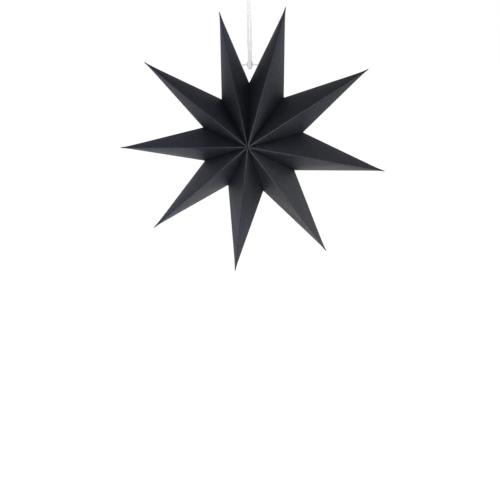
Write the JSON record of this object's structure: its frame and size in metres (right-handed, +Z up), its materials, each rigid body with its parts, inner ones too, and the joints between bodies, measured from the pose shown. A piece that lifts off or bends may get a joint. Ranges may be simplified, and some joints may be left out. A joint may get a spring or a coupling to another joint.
{
  "type": "folded paper star",
  "caption": "Three-dimensional pointed star folded from dark card, its points glued edge to edge round a hub and tied at the top, hung on a doubled cotton cord with a knot.",
  "frame": {"origin": "upper end of the cord's single strand, above the knot, where the star is hung up", "axes": "+Z up along the hanging cord; -Y is the star's front, its axis lies along Y; +X to the right seen from the front"},
  "size_m": [0.2967, 0.1164, 0.3625],
  "materials": {
    "card": "matte blue-black card with paler creases",
    "thread": "white twisted thread",
    "cord": "soft white cotton cord"
  },
  "bodies": {
    "root": {"point_1": "card", "point_2": "card", "point_3": "card", "point_4": "card", "point_5": "card", "point_6": "card", "point_7": "card", "point_8": "card", "point_9": "card", "tie_thread": "thread", "hanging_cord": "cord", "cord_knot": "cord"}
  },
  "joints": []
}
